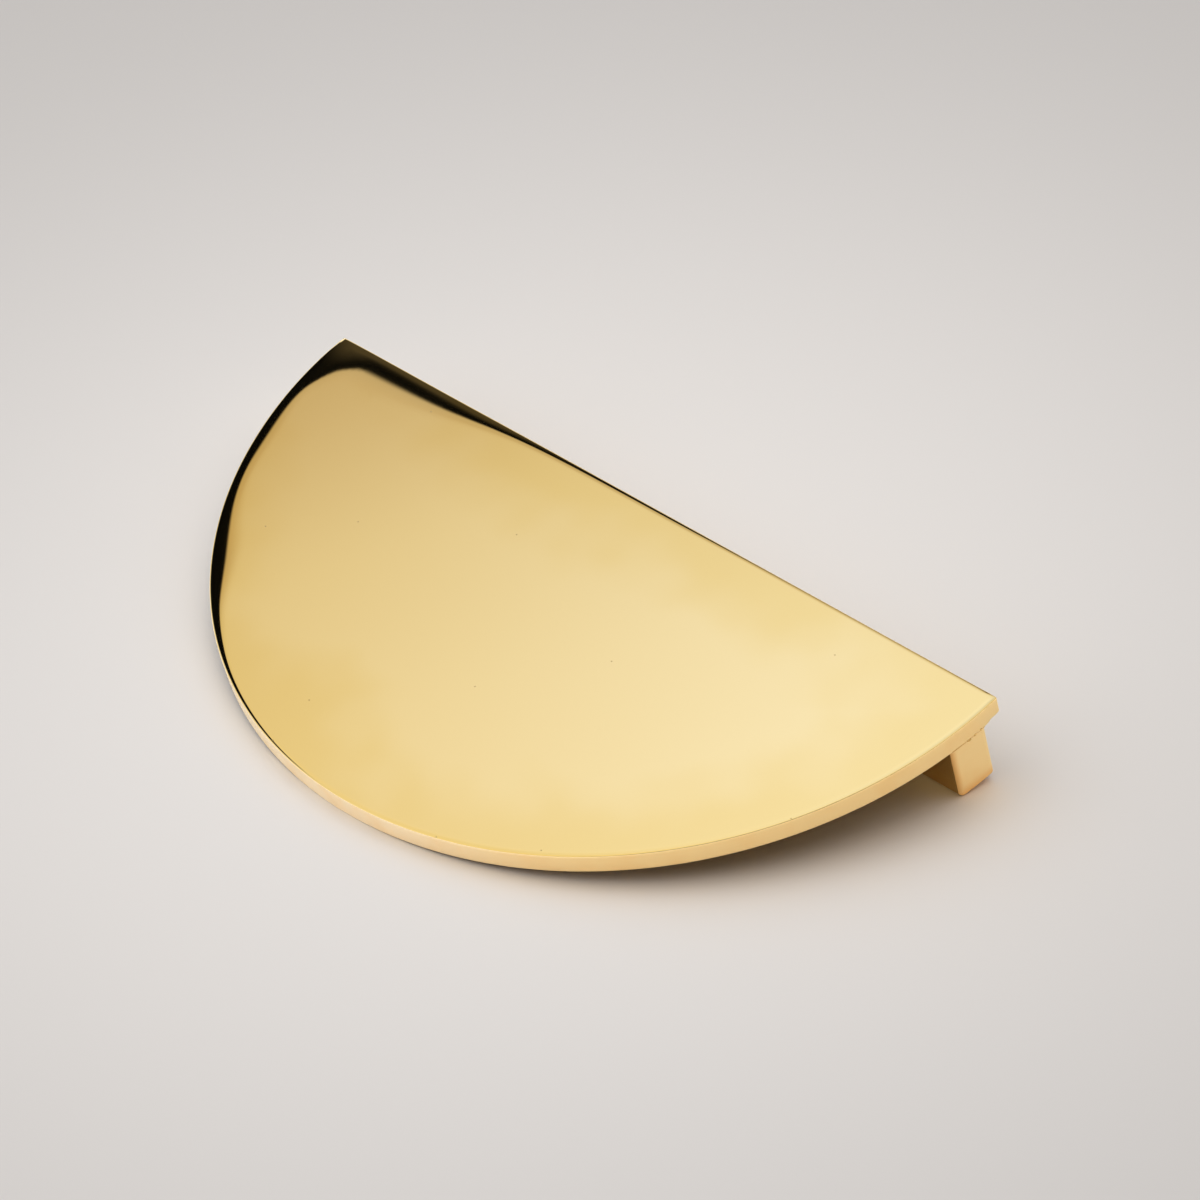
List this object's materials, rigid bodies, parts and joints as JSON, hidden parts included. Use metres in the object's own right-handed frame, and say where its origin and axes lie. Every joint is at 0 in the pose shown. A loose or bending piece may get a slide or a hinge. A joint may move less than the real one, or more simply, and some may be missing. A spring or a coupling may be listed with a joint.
{
  "type": "half moon cabinet pull",
  "caption": "Half moon cabinet pull in solid brass: a mirror-polished half disc on a straight foot bar, gripped under its round edge and screwed on from behind.",
  "frame": {"origin": "middle of the foot's mounting face, halfway between the two screw holes", "axes": "+Z out of the cabinet front towards the polished face, +X along the straight edge, round edge towards -Y"},
  "size_m": [0.168, 0.084, 0.016],
  "materials": {
    "brass": "mirror-polished face, satin edges and foot, clear of lacquer"
  },
  "bodies": {
    "root": {"half_moon_pull": "brass"}
  },
  "joints": []
}
